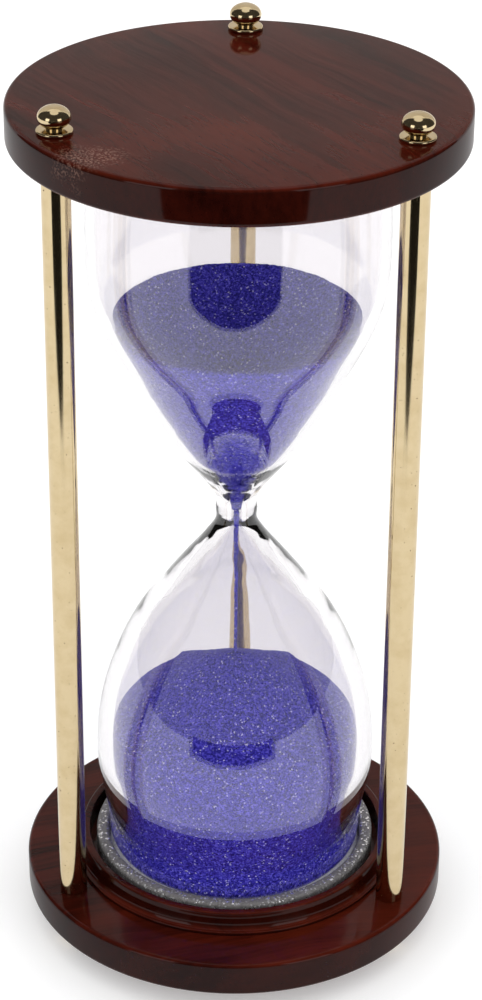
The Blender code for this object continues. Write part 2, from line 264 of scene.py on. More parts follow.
class HourglassStage(bpy.types.PropertyGroup):
    """The floor, the light and the camera."""

    floor_colour: colour("Floor", "Colour of the floor", (0.86, 0.86, 0.86))
    floor_glow: share("Floor glow", "Light that comes up through the floor's translucent sheet", 0.22, 5.0)
    world_strength: share("Surroundings", "Strength of the white surroundings", 1.12, 10.0)
    box_power: share("Soft boxes", "Power of each soft box in watts", 2.6, 500.0)
    lens: FloatProperty(name="Lens", description="Focal length in millimetres", default=105.2, min=10.0)
    distance: length("Camera distance", "How far the camera stands in front of the axis", 0.58425)
    side: length("Camera side", "How far the camera stands right of the axis", 0.00102)
    height: length("Camera height", "Height of the camera above the base plate's underside", 0.42388)
    tilt: angle("Camera tilt", "How far the camera looks down", 28.80)
    roll: angle("Camera roll", "How far the camera leans", 0.445)
    turn: angle("Camera turn", "How far the camera has moved round the hourglass", 1.61)


# ---------------------------------------------------------------- meshes


def arc(centre_radius, centre_height, radius, start, end, steps=8):
    """Points along an arc of an outline. Angles are in degrees, from straight out towards up."""
    points = []
    for step in range(steps + 1):
        turn = math.radians(start + (end - start) * step / steps)
        points.append((centre_radius + radius * math.cos(turn), centre_height + radius * math.sin(turn)))
    return points


def between(start, end, steps):
    """Points from start up to but not including end, evenly apart."""
    (r0, z0), (r1, z1) = start, end
    return [(r0 + (r1 - r0) * i / steps, z0 + (z1 - z0) * i / steps) for i in range(steps)]


def from_level(outline, level, way):
    """Turns heights above a level, or below it for a way of -1, into heights in the frame."""
    return [(r, level + way * z) for r, z in outline]


def revolve(name, outline, sides, centre=(0.0, 0.0), closed=False, stray=None):
    """Turns (radius, height) points about an upright axis. A radius of 0 makes one shared point.

    A closed outline joins its last point to its first. stray, where it is given, takes and returns the
    points as an array of rows, sides and coordinates.
    """
    radii = np.array([p[0] for p in outline])
    heights = np.array([p[1] for p in outline])
    turns = np.arange(sides) * math.tau / sides
    points = np.empty((len(outline), sides, 3))
    points[:, :, 0] = radii[:, None] * np.cos(turns)
    points[:, :, 1] = radii[:, None] * np.sin(turns)
    points[:, :, 2] = heights[:, None]
    if stray is not None:
        points = stray(points)
    points[:, :, 0] += centre[0]
    points[:, :, 1] += centre[1]

    vertices = []
    rows = []
    for row, radius in enumerate(radii):
        if radius < 1e-9:
            rows.append([len(vertices)] * sides)
            vertices.append((centre[0], centre[1], float(points[row, :, 2].mean())))
        else:
            rows.append(list(range(len(vertices), len(vertices) + sides)))
            vertices.extend(map(tuple, points[row]))
    faces = []
    pairs = list(zip(rows, rows[1:]))
    if closed:
        pairs.append((rows[-1], rows[0]))
    for lower, upper in pairs:
        for i in range(sides):
            j = (i + 1) % sides
            corners = [lower[i], lower[j], upper[j], upper[i]]
            if lower[i] == lower[j]:
                corners = [lower[i], upper[j], upper[i]]
            elif upper[i] == upper[j]:
                corners = [lower[i], lower[j], upper[i]]
            faces.append(corners)
    mesh = bpy.data.meshes.new(name)
    mesh.from_pydata(vertices, [], faces)
    shape = bmesh.new()
    shape.from_mesh(mesh)
    bmesh.ops.recalc_face_normals(shape, faces=shape.faces)
    shape.to_mesh(mesh)
    shape.free()
    return mesh


def add_piece(name, mesh, material, nodes, body=FRAME_BODY, sharp=35.0):
    """Puts a mesh in the scene, in place of its CAD nodes and riding on their body."""
    mesh.shade_smooth()
    mesh.set_sharp_from_angle(angle=math.radians(sharp))
    mesh.materials.append(material)
    piece = bpy.data.objects.new(name, mesh)
    bpy.context.scene.collection.objects.link(piece)
    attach(piece, body)
    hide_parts(*nodes)
    return piece


def bore_holes(mesh, places, radius, bottom, top):
    """Drills upright round holes through a mesh, and returns the drilled mesh."""
    drills = bmesh.new()
    for x, y in places:
        made = bmesh.ops.create_cone(
            drills, cap_ends=True, segments=32, depth=3 * (top - bottom), radius1=radius, radius2=radius,
        )
        bmesh.ops.translate(drills, verts=made["verts"], vec=(x, y, (top + bottom) / 2))
    drill_mesh = bpy.data.meshes.new("drills")
    drills.to_mesh(drill_mesh)
    drills.free()
    drill = bpy.data.objects.new("drills", drill_mesh)
    blank = bpy.data.objects.new("blank", mesh)
    for item in (drill, blank):
        bpy.context.scene.collection.objects.link(item)
    cut = blank.modifiers.new("holes", "BOOLEAN")
    cut.operation = "DIFFERENCE"
    cut.solver = "EXACT"
    cut.object = drill
    graph = bpy.context.evaluated_depsgraph_get()
    drilled = bpy.data.meshes.new_from_object(blank.evaluated_get(graph))
    for item in (drill, blank):
        bpy.data.objects.remove(item)
    return drilled


# ---------------------------------------------------------------- the glass's shape


def smooth_through(points, along):
    """The height at `along` of a smooth curve through points in rising order."""
    last = len(points) - 1
    index = max(i for i in range(last) if points[i][0] <= along)

    def slope(at):
        before = points[max(at - 1, 0)]
        after = points[min(at + 1, last)]
        return (after[1] - before[1]) / (after[0] - before[0])

    (x0, y0), (x1, y1) = points[index], points[index + 1]
    wide = x1 - x0
    t = min((along - x0) / wide, 1.0)
    start_slope = 0.0 if index == 0 else slope(index)
    end_slope = 0.0 if index + 1 == last else slope(index + 1)
    return (
        y0 * (2 * t ** 3 - 3 * t ** 2 + 1)
        + y1 * (3 * t ** 2 - 2 * t ** 3)
        + wide * start_slope * (t ** 3 - 2 * t ** 2 + t)
        + wide * end_slope * (t ** 3 - t ** 2)
    )


class Bulb:
    """One bulb of the glass. Distances run from the middle of the neck towards the bulb's end."""

    def __init__(self, glass, soft, upper):
        self.shape = UPPER_SHAPE if upper else LOWER_SHAPE
        self.way = 1 if upper else -1
        self.neck_level = middle("glass").z + glass.neck_rise
        self.end_level = high("glass").z if upper else low("glass").z
        self.length = abs(self.end_level - self.neck_level)
        side_gap = low("base_ring").z - high("base_plate").z
        self.end_radius = gasket_inside("top" if upper else "base", soft) - side_gap
        self.belly_radius = self.end_radius + (glass.upper_swell if upper else glass.lower_swell)
        self.wall = glass.upper_wall if upper else glass.lower_wall
        self.corner = glass.end_radius
        self.neck_radius = glass.neck_diameter / 2
        self.bore_radius = glass.neck_bore / 2
        self.neck_reach = glass.neck_reach
        self.straight_length = self.length - self.corner
        self.floor = self.length - (glass.upper_floor if upper else glass.lower_floor)

    def outer_radius(self, distance):
        along = distance / self.length
        belly = self.shape[-1][0]
        if along < belly:
            swollen = smooth_through(self.shape, along)
            return self.neck_radius + swollen * (self.belly_radius - self.neck_radius)
        past = (along - belly) / (self.straight_length / self.length - belly)
        fall = (1 - math.cos(math.pi * min(past, 1.0))) / 2
        return self.belly_radius - fall * (self.belly_radius - self.end_radius)

    def inner_radius(self, distance):
        step = self.length / 200
        rise = self.outer_radius(distance + step) - self.outer_radius(max(distance - step, 0))
        lean = math.hypot(1, rise / (2 * step))
        fade = max(0.0, 1 - distance / self.neck_reach)
        thickness = self.wall + (self.neck_radius - self.bore_radius - self.wall) * fade ** 2
        return max(self.bore_radius, self.outer_radius(distance) - thickness * lean)

    def level(self, distance):
        return self.neck_level + self.way * distance

    def distances(self, end, steps):
        return [end * i / steps for i in range(steps + 1)]

    def outer_outline(self, steps=110):
        straight = self.distances(self.straight_length, steps)
        points = [(self.outer_radius(d), self.level(d)) for d in straight]
        bend = arc(self.end_radius - self.corner, self.straight_length, self.corner, 0, 90, 10)
        return points + [(r, self.level(d)) for r, d in bend[1:]]

    def inner_outline(self, steps=110):
        corner = self.inner_corner()
        straight = self.floor - corner
        points = [(self.inner_radius(d), self.level(d)) for d in self.distances(straight, steps)]
        side = self.inner_radius(straight)
        bend = arc(side - corner, straight, corner, 0, 90, 8)
        return points + [(r, self.level(d)) for r, d in bend[1:]]

    def inner_corner(self):
        return max(self.corner - self.wall, self.corner / 5)

    def room(self, distance, gap):
        """The sand's radius at a distance from the neck, corner at the bulb's floor included."""
        corner = self.inner_corner()
        straight = self.floor - corner
        if distance <= straight:
            return self.inner_radius(distance) - gap
        into = min(distance - straight, corner)
        return self.inner_radius(straight) - corner + math.sqrt(corner ** 2 - into ** 2) - gap


# ---------------------------------------------------------------- materials


def new_material(name):
    material = bpy.data.materials.new(name)
    material.use_nodes = True
    tree = material.node_tree
    return material, tree, tree.nodes["Principled BSDF"]


def add(tree, kind, inputs=None, **settings):
    """Adds one shader node. An input that is a socket is linked, and any other is set."""
    made = tree.nodes.new("ShaderNode" + kind)
    for key, value in settings.items():
        setattr(made, key, value)
    for key, value in (inputs or {}).items():
        connect(tree, made.inputs[key], value)
    return made


def connect(tree, socket, value):
    if isinstance(value, bpy.types.NodeSocket):
        tree.links.new(value, socket)
    elif isinstance(value, (tuple, list)) and len(value) == 3 and socket.type == "RGBA":
        socket.default_value = (*value, 1.0)
    else:
        socket.default_value = value


def own_place(tree):
    """The point on the piece itself, so that a pattern moves with it."""
    return add(tree, "TexCoord").outputs["Object"]


def stretched(tree, place, scale, turn=(0, 0, 0)):
    """The place turned, then scaled along each axis."""
    turned = add(tree, "Mapping", {"Vector": place, "Rotation": turn})
    return add(tree, "Mapping", {"Vector": turned.outputs[0], "Scale": scale}).outputs[0]


def cloud(tree, vector, scale, detail=4.0, rough=0.55, warp=0.0):
    made = add(tree, "TexNoise", {
        "Vector": vector, "Scale": scale, "Detail": detail, "Roughness": rough, "Distortion": warp,
    })
    return made.outputs["Fac"]


def grade(tree, value, low_in, high_in, low_out=0.0, high_out=1.0):
    """Maps a value from one range to another, held at both ends."""
    return add(tree, "MapRange", {
        "Value": value, "From Min": low_in, "From Max": high_in, "To Min": low_out, "To Max": high_out,
    }).outputs["Result"]


def blend_colours(tree, factor, first, second, mode="MIX"):
    made = add(tree, "Mix", data_type="RGBA", blend_type=mode)
    connect(tree, made.inputs["Factor"], factor)
    connect(tree, made.inputs[6], first)
    connect(tree, made.inputs[7], second)
    return made.outputs[2]


def calculate(tree, operation, first, second=0.0):
    made = add(tree, "Math", operation=operation)
    connect(tree, made.inputs[0], first)
    connect(tree, made.inputs[1], second)
    return made.outputs[0]


def relief(tree, height, depth, strength=1.0, under=None):
    inputs = {"Height": height, "Distance": depth, "Strength": strength}
    if under is not None:
        inputs["Normal"] = under
    return add(tree, "Bump", inputs).outputs["Normal"]


def dress(tree, shader, tone, rough, normal):
    """Links what differs from place to place over a surface."""
    connect(tree, shader.inputs["Base Color"], tone)
    connect(tree, shader.inputs["Roughness"], rough)
    connect(tree, shader.inputs["Normal"], normal)


def lacquered_wood(name, wood, turn, scuff_place=None):
    """Dark red-brown hardwood under a hard gloss lacquer."""
    material, tree, shader = new_material(name)
    place = own_place(tree)
    spin = (0.0, 0.0, -turn)
    # A slow wander keeps the streaks from running dead straight.
    wander = add(tree, "TexNoise", {"Vector": place, "Scale": 22.0, "Detail": 2.0}).outputs["Color"]
    strayed = add(tree, "VectorMath", operation="MULTIPLY_ADD")
    connect(tree, strayed.inputs[0], wander)
    strayed.inputs[1].default_value = (0.010, 0.010, 0.004)
    connect(tree, strayed.inputs[2], place)
    broad = cloud(tree, stretched(tree, strayed.outputs[0], (9, 105, 60), spin), 1.0, 5.0, 0.6)
    fine = cloud(tree, stretched(tree, strayed.outputs[0], (38, 900, 420), spin), 1.0, 3.0, 0.6)
    patches = cloud(tree, place, 26.0, 3.0, 0.5)
    pores = cloud(tree, stretched(tree, strayed.outputs[0], (260, 3600, 1400), spin), 1.0, 2.0, 0.5)

    streaks = grade(tree, calculate(tree, "ADD", calculate(tree, "MULTIPLY", broad, 0.66),
                                    calculate(tree, "MULTIPLY", fine, 0.34)), 0.38, 0.60)
    ground = blend_colours(tree, streaks, tuple(wood.streak_colour), tuple(wood.heart_colour))
    flame = grade(tree, patches, 0.48, 0.74, 0.0, 0.55)
    warm = blend_colours(tree, flame, ground, tuple(wood.flame_colour))
    open_pores = grade(tree, pores, 0.63, 0.70)
    filled = calculate(tree, "MULTIPLY", open_pores, 0.55)
    base = blend_colours(tree, filled, warm, tuple(wood.streak_colour))
    # Painted shade: faces that stand upright, the turned edges among them, are made darker for the dim
    # light that reaches them from the front.
    facing = add(tree, "SeparateXYZ", {"Vector": add(tree, "TexCoord").outputs["Normal"]}).outputs["Z"]
    painted_side_shade = grade(tree, calculate(tree, "ABSOLUTE", facing), 0.75, 0.25, 0.0, 0.72)
    base = blend_colours(tree, painted_side_shade, base, tuple(0.25 * c for c in wood.streak_colour))
    rough = grade(tree, fine, 0.3, 0.7, 0.34, 0.50)
    film = cloud(tree, place, 330.0, 2.0, 0.5)
    normal = relief(tree, calculate(tree, "SUBTRACT", film, calculate(tree, "MULTIPLY", open_pores, 0.8)),
                    0.000012, 0.25)
    coat_rough = grade(tree, cloud(tree, place, 60.0, 3.0), 0.3, 0.7, wood.polish * 0.7, wood.polish * 1.5)
    if scuff_place is not None:
        # A patch where dust has dried into the lacquer and left it pimpled.
        away = add(tree, "VectorMath", operation="DISTANCE")
        connect(tree, away.inputs[0], stretched(tree, place, (1.0, 1.35, 1.0)))
        away.inputs[1].default_value = scuff_place
        ragged = calculate(tree, "ADD", away.outputs["Value"],
                           calculate(tree, "MULTIPLY", cloud(tree, place, 260.0, 4.0), 0.010))
        patch = grade(tree, ragged, 0.0145, 0.0085)
        pimples = grade(tree, cloud(tree, place, 1900.0, 2.0), 0.50, 0.62)
        spots = calculate(tree, "MULTIPLY", patch, pimples)
        base = blend_colours(tree, calculate(tree, "MULTIPLY", spots, 0.45), base, (0.36, 0.20, 0.15))
        coat_rough = calculate(tree, "ADD", coat_rough, calculate(tree, "MULTIPLY", patch, 0.16))
        normal = relief(tree, spots, 0.00005, 0.6, normal)
    dress(tree, shader, base, rough, normal)
    connect(tree, shader.inputs["Coat Roughness"], coat_rough)
    shader.inputs["Specular IOR Level"].default_value = 0.0
    shader.inputs["Coat Weight"].default_value = 0.45
    shader.inputs["Coat IOR"].default_value = 1.40
    return material


def polished_brass(name, metal, drawn):
    """Polished brass. drawn scales the fine lines along each axis: they run where it is small."""
    material, tree, shader = new_material(name)
    place = own_place(tree)
    lines = cloud(tree, stretched(tree, place, drawn), 1.0, 4.0, 0.65)
    dulled = cloud(tree, place, 210.0, 5.0, 0.6)
    specks = grade(tree, cloud(tree, place, 1500.0, 1.0, 0.5), 0.735, 0.775)
    tone = blend_colours(tree, grade(tree, dulled, 0.42, 0.80, 0.0, 0.40),
                         tuple(metal.brass_colour), tuple(metal.aged_colour))
    tone = blend_colours(tree, calculate(tree, "MULTIPLY", specks, 0.75), tone, (0.09, 0.05, 0.02))
    rough = calculate(tree, "ADD", grade(tree, lines, 0.3, 0.7, metal.polish * 0.7, metal.polish * 1.35),
                      calculate(tree, "MULTIPLY", specks, 0.25))
    drawn_surface = calculate(tree, "SUBTRACT", lines, specks)
    dress(tree, shader, tone, rough, relief(tree, drawn_surface, 0.000006, 0.35))
    shader.inputs["Metallic"].default_value = 1.0
    return material


def plated_steel(metal):
    material, tree, shader = new_material("plated_steel")
    place = own_place(tree)
    mottle = cloud(tree, place, 900.0, 4.0, 0.6)
    tone = blend_colours(tree, grade(tree, mottle, 0.3, 0.7), tuple(0.72 * c for c in metal.steel_colour),
                         tuple(metal.steel_colour))
    rough = grade(tree, mottle, 0.3, 0.7, 0.42, 0.24)
    dress(tree, shader, tone, rough, relief(tree, mottle, 0.00001, 0.4))
    shader.inputs["Metallic"].default_value = 1.0
    return material


def blown_glass(glass):
    """Clear glass. Lamps pass straight through it, so that the sand inside is lit."""
    material, tree, shader = new_material("blown_glass")
    place = own_place(tree)
    cords = cloud(tree, stretched(tree, place, (60, 60, 22)), 1.0, 2.0, 0.4, 0.6)
    film = cloud(tree, place, 85.0, 4.0, 0.6)
    rough = grade(tree, film, 0.45, 0.75, 0.0, 0.035)
    dress(tree, shader, tuple(glass.tint), rough, relief(tree, cords, 0.00004, 0.5))
    shader.inputs["IOR"].default_value = 1.66
    shader.inputs["Transmission Weight"].default_value = 1.0
    clear = add(tree, "BsdfTransparent", {"Color": (0.94, 0.94, 0.95)})
    rays = add(tree, "LightPath")
    lets_by = calculate(tree, "MAXIMUM", rays.outputs["Is Shadow Ray"], rays.outputs["Is Diffuse Ray"])
    both = add(tree, "MixShader", {0: lets_by, 1: shader.outputs[0], 2: clear.outputs[0]})
    tree.links.new(both.outputs[0], tree.nodes["Material Output"].inputs["Surface"])
    return material


def dyed_sand(sand):
    """Violet-blue grains, each with its own tone, and a few painted near-white as painted glints, with a
    smoother surface.
    """
    material, tree, shader = new_material("dyed_sand")
    place = own_place(tree)
    grains = add(tree, "TexVoronoi", {"Vector": place, "Scale": 1.0 / sand.grain, "Randomness": 1.0})
    one = add(tree, "SeparateColor", {"Color": grains.outputs["Color"]})
    shade = one.outputs["Red"]
    drift = cloud(tree, place, 190.0, 3.0, 0.6)
    body = blend_colours(tree, grade(tree, shade, 0.0, 0.55), tuple(sand.deep_colour),
                         tuple(sand.body_colour))
    pale = calculate(tree, "MULTIPLY", grade(tree, shade, 0.60, 1.0),
                     grade(tree, drift, 0.30, 0.65, 0.55, 1.0))
    tone = blend_colours(tree, pale, body, tuple(sand.pale_colour))
    # Painted glints: a few grains are painted near-white and made smoother, to stand in for grains that
    # catch the light.
    painted_glints = grade(tree, one.outputs["Green"], 0.965, 0.985)
    tone = blend_colours(tree, calculate(tree, "MULTIPLY", painted_glints, 0.55), tone, (0.80, 0.79, 1.0))
    rough = calculate(tree, "SUBTRACT", 0.62, calculate(tree, "MULTIPLY", painted_glints, 0.42))
    rounded = grade(tree, grains.outputs["Distance"], 0.0, 0.75, 1.0, 0.0)
    dress(tree, shader, tone, rough, relief(tree, rounded, sand.grain * 0.5, 0.75))
    shader.inputs["IOR"].default_value = 1.46
    shader.inputs["Specular IOR Level"].default_value = 0.18
    return material


def glitter_foam(soft):
    material, tree, shader = new_material("glitter_foam")
    place = own_place(tree)
    flakes = add(tree, "TexVoronoi", {"Vector": place, "Scale": 2300.0})
    one = add(tree, "SeparateColor", {"Color": flakes.outputs["Color"]})
    lit = grade(tree, one.outputs["Red"], 0.80, 0.92)
    cells = cloud(tree, place, 1400.0, 3.0, 0.6)
    ground = blend_colours(tree, grade(tree, cells, 0.35, 0.65), tuple(0.62 * c for c in soft.foam_colour),
                           tuple(soft.foam_colour))
    tone = blend_colours(tree, lit, ground, tuple(soft.glitter_colour))
    rough = grade(tree, one.outputs["Red"], 0.80, 0.92, 0.60, 0.22)
    connect(tree, shader.inputs["Metallic"], calculate(tree, "MULTIPLY", lit, 0.8))
    rugged = calculate(tree, "ADD", cells, one.outputs["Green"])
    dress(tree, shader, tone, rough, relief(tree, rugged, 0.00015, 0.7))
    return material


def wool_felt(soft):
    material, tree, shader = new_material("wool_felt")
    place = own_place(tree)
    fibres = cloud(tree, place, 1300.0, 5.0, 0.7, 1.5)
    tone = blend_colours(tree, grade(tree, fibres, 0.3, 0.7), tuple(0.5 * c for c in soft.felt_colour),
                         tuple(1.25 * c for c in soft.felt_colour))
    rough = grade(tree, fibres, 0.3, 0.7, 0.85, 1.0)
    dress(tree, shader, tone, rough, relief(tree, fibres, 0.0002, 0.8))
    shader.inputs["Sheen Weight"].default_value = 0.4
    return material


def bark_cork(glass):
    material, tree, shader = new_material("bark_cork")
    place = own_place(tree)
    cells = add(tree, "TexVoronoi", {"Vector": place, "Scale": 900.0})
    pits = grade(tree, cloud(tree, place, 420.0, 3.0, 0.6), 0.60, 0.68)
    tone = blend_colours(tree, grade(tree, cells.outputs["Distance"], 0.2, 0.7), tuple(glass.cork_colour),
                         tuple(0.72 * c for c in glass.cork_colour))
    tone = blend_colours(tree, pits, tone, (0.11, 0.06, 0.03))
    rough = grade(tree, cells.outputs["Distance"], 0.0, 0.7, 0.75, 0.95)
    dress(tree, shader, tone, rough, relief(tree, pits, 0.0004, 0.7))
    return material


# ---------------------------------------------------------------- pieces


class HOURGLASS_OT_plates(bpy.types.Operator):
    """Make the two lacquered hardwood plates"""

    bl_idname = "hourglass.plates"
    bl_label = "Plates"

    def execute(self, context):
        wood = context.scene.hourglass_wood
        rods = [tuple(middle(f"post_{name}").xy) for name in POST_NAMES]
        hole = rod_bore()
        for end in ENDS:
            node = f"{end}_plate"
            bottom, top = low(node).z, high(node).z
            radius = width(node) / 2
            edge = wood.plate_edge
            outline = [(0.0, bottom)] + between((radius * 0.5, bottom), (radius - edge, bottom), 2)
            outline += arc(radius - edge, bottom + edge, edge, -90, 0)
            outline += arc(radius - edge, top - edge, edge, 0, 90)
            outline += [(radius * 0.5, top), (0.0, top)]
            blank = revolve(node, outline, 180)
            mesh = bore_holes(blank, rods, hole, bottom, top)
            turn = wood.grain_turn if end == "top" else wood.grain_turn + math.radians(70)
            scuff = (-0.0285, -0.0463, top) if end == "top" else None
            material = lacquered_wood(f"{end}_plate_wood", wood, turn, scuff)
            add_piece(f"{end}_plate_turned", mesh, material, [node], sharp=30.0)
        return {"FINISHED"}


class HOURGLASS_OT_rings(bpy.types.Operator):
    """Make the turned rings that hold the ends of the glass"""

    bl_idname = "hourglass.rings"
    bl_label = "Rings"

    def execute(self, context):
        wood = context.scene.hourglass_wood
        material = lacquered_wood("ring_wood", wood, wood.grain_turn + math.radians(25))
        for end in ENDS:
            node = f"{end}_ring"
            way = inwards(end)
            seat = face_level(end)
            tall = abs(far_level(node, way) - seat)
            foot = width(node) / 2
            land = foot - wood.ring_flare
            inner = land - wood.ring_land
            edge = RING_FOOT_EDGE
            outline = [(inner, 0.0), (foot - RING_FOOT_BEVEL, 0.0), (foot, edge)]
            outline += arc(foot - edge, wood.ring_foot - edge, edge, 0, 90, 5)
            # A hollow cove runs from the foot up to the land.
            cove_tall = tall - COVE_DROP - wood.ring_foot
            for step in range(COVE_STEPS + 1):
                swing = math.radians(90) * step / COVE_STEPS
                radius = foot - COVE_INSET - (wood.ring_flare - COVE_TAPER) * math.sin(swing)
                outline.append((radius, wood.ring_foot + cove_tall * (1 - math.cos(swing))))
            outline += arc(land - RING_LAND_EDGE, tall - RING_LAND_EDGE, RING_LAND_EDGE, 0, 90, 6)
            outline += arc(inner + RING_LIP_EDGE, tall - RING_LIP_EDGE, RING_LIP_EDGE, 90, 180, 5)
            mesh = revolve(node, from_level(outline, seat, way), 160, closed=True)
            add_piece(f"{end}_ring_turned", mesh, material, [node], sharp=40.0)
        return {"FINISHED"}


class HOURGLASS_OT_gaskets(bpy.types.Operator):
    """Make the foam gaskets between the rings and the glass"""

    bl_idname = "hourglass.gaskets"
    bl_label = "Gaskets"

    def execute(self, context):
        soft = context.scene.hourglass_soft
        material = glitter_foam(soft)
        for end in ENDS:
            node = f"{end}_gasket"
            way = inwards(end)
            seat = face_level(end)
            tall = abs(far_level(node, way) - seat)
            outer = width(node) / 2
            inner = gasket_inside(end, soft)
            edge = getattr(soft, f"{end}_gasket_edge")
            outline = between((inner, 0.0), (outer, 0.0), 4)
            outline += between((outer, 0.0), (outer, tall - edge), 8)
            outline += arc(outer - edge, tall - edge, edge, 0, 90, 6)
            outline += arc(inner + edge, tall - edge, edge, 90, 180, 6)
            outline += between((inner, tall - edge), (inner, 0.0), 8)[1:]

            def lumpy(rows):
                draw = np.random.default_rng(GASKET_SEED)
                bumps = draw.uniform(-1.0, 1.0, rows.shape[:2]) * LUMP
                depth = np.clip(np.abs(rows[:, :, 2] - (seat + way * tall)) / LUMP_REACH, 0, 1)
                rows[:, :, 2] += -way * np.abs(bumps) * (1 - depth)
                return rows

            mesh = revolve(node, from_level(outline, seat, way), 480, closed=True, stray=lumpy)
            add_piece(f"{end}_gasket_foam", mesh, material, [node], sharp=70.0)
        return {"FINISHED"}


class HOURGLASS_OT_pads(bpy.types.Operator):
    """Make the felt pads that the ends of the glass rest on"""

    bl_idname = "hourglass.pads"
    bl_label = "Pads"

    def execute(self, context):
        soft = context.scene.hourglass_soft
        material = wool_felt(soft)
        for end in ENDS:
            node = f"{end}_pad"
            way = inwards(end)
            seat = face_level(end)
            thick = abs(far_level("glass", -way) - seat)
            radius = gasket_inside(end, soft) - soft.pad_gap
            edge = thick * 0.35
            outline = [(0.0, 0.0)] + between((NEAR_AXIS, 0.0), (radius - edge, 0.0), 24)
            outline += arc(radius - edge, edge, edge, -90, 0, 4)
            outline += arc(radius - edge, thick - edge, edge, 0, 90, 4)
            outline += between((radius - edge * 1.1, thick), (NEAR_AXIS, thick), 24) + [(0.0, thick)]

            def fuzzy(rows):
                draw = np.random.default_rng(FELT_SEED)
                fuzz = draw.uniform(-1.0, 1.0, rows.shape[:2]) * FUZZ
                reach = np.hypot(rows[:, :, 0], rows[:, :, 1])
                rows[:, :, :2] *= (1 + np.where(reach > radius * 0.9, fuzz / radius * 4, 0))[:, :, None]
                return rows

            mesh = revolve(node, from_level(outline, seat, way), 180, stray=fuzzy)
            add_piece(f"{end}_pad_felt", mesh, material, [node], sharp=60.0)
        return {"FINISHED"}


class HOURGLASS_OT_posts(bpy.types.Operator):
    """Make the three brass posts"""

    bl_idname = "hourglass.posts"
    bl_label = "Posts"

    def execute(self, context):
        metal = context.scene.hourglass_metal
        material = polished_brass("post_brass", metal, (2600, 2600, 18))
        bottom, top = face_level("base"), face_level("top")
        bore = rod_bore()
        for index, name in enumerate(POST_NAMES):
            node = f"post_{name}"
            radius = width(node) / 2
            edge = POST_EDGE
            outline = between((bore, bottom), (radius - edge, bottom), 2)
            outline += arc(radius - edge, bottom + edge, edge, -90, 0, 4)
            outline += between((radius, bottom + edge * 2), (radius, top - edge * 2), 110)
            outline += arc(radius - edge, top - edge, edge, 0, 90, 4)
            outline += between((bore, top), (bore, bottom), 6)

            def polished(rows, seed=index):
                for row in range(rows.shape[0]):
                    level = float(rows[row, 0, 2])
                    for side in range(rows.shape[1]):
                        x, y = rows[row, side, 0], rows[row, side, 1]
                        if math.hypot(x, y) < radius * 0.8:
                            continue
                        at = Vector((x * 260, y * 260, level * 42 + 7.3 * seed))
                        rows[row, side, :2] *= 1 + POST_WANDER * noise.noise(at)
                return rows

            mesh = revolve(node, outline, 64, tuple(middle(node).xy), closed=True, stray=polished)
            add_piece(f"{node}_brass", mesh, material, [node], sharp=40.0)
        return {"FINISHED"}


class HOURGLASS_OT_tie_rods(bpy.types.Operator):
    """Make the threaded rods inside the posts"""

    bl_idname = "hourglass.tie_rods"
    bl_label = "Tie rods"

    def execute(self, context):
        metal = context.scene.hourglass_metal
        material = plated_steel(metal)
        sides = 24
        for name in POST_NAMES:
            node = f"tie_rod_{name}"
            bottom, top = low(node).z, high(node).z
            radius = width(node) / 2
            pitch = metal.thread_pitch
            depth = pitch * THREAD_CUT
            thread = (top - bottom) * THREADED_SHARE

            def rod_radius(level, turn):
                """Threaded at both ends and plain between them."""
                ends = min(level - bottom, top - level)
                if ends > thread:
                    return radius - depth * 0.5
                wave = abs(((level / pitch - turn / math.tau) % 1.0) * 2 - 1)
                cut = depth * wave
                lead = max(0.0, 1 - ends / pitch) * depth
                return radius - max(cut, lead)

            step = pitch / 4
            count = int(thread / step)
            levels = [bottom + step * i for i in range(count + 1)]
            levels += [bottom + thread + (top - bottom - 2 * thread) * i / 8 for i in range(1, 8)]
            levels += [top - step * i for i in range(count, -1, -1)]
            points = [(radius, level) for level in levels]

            def threaded(rows):
                for row in range(1, rows.shape[0] - 1):
                    for side in range(sides):
                        turn = side * math.tau / sides
                        reach = rod_radius(float(rows[row, side, 2]), turn)
                        rows[row, side, 0] = reach * math.cos(turn)
                        rows[row, side, 1] = reach * math.sin(turn)
                return rows

            outline = [(0.0, bottom)] + points + [(0.0, top)]
            mesh = revolve(node, outline, sides, tuple(middle(node).xy), stray=threaded)
            add_piece(f"{node}_threaded", mesh, material, [node], sharp=50.0)
        return {"FINISHED"}


class HOURGLASS_OT_washers(bpy.types.Operator):
    """Make the brass collars under the knobs"""

    bl_idname = "hourglass.washers"
    bl_label = "Washers"

    def execute(self, context):
        metal = context.scene.hourglass_metal
        material = polished_brass("washer_brass", metal, (900, 900, 2200))
        bore = rod_bore()
        for end in ENDS:
            out = -inwards(end)
            plate = far_level(f"{end}_plate", out)
            for name in POST_NAMES:
                node = f"{end}_washer_{name}"
                radius = width(node) / 2
                thick = abs(far_level(node, out) - plate)
                edge = thick * 0.42
                outline = [(bore, 0.0), (radius - edge, 0.0)]
                outline += arc(radius - edge, edge, edge, -60, 0, 5)
                outline += arc(radius - edge, thick - edge, edge, 0, 90, 7) + [(bore, thick)]
                points = from_level(outline, plate, out)
                mesh = revolve(node, points, 72, tuple(middle(node).xy), closed=True)
                add_piece(f"{node}_brass", mesh, material, [node], sharp=45.0)
        return {"FINISHED"}


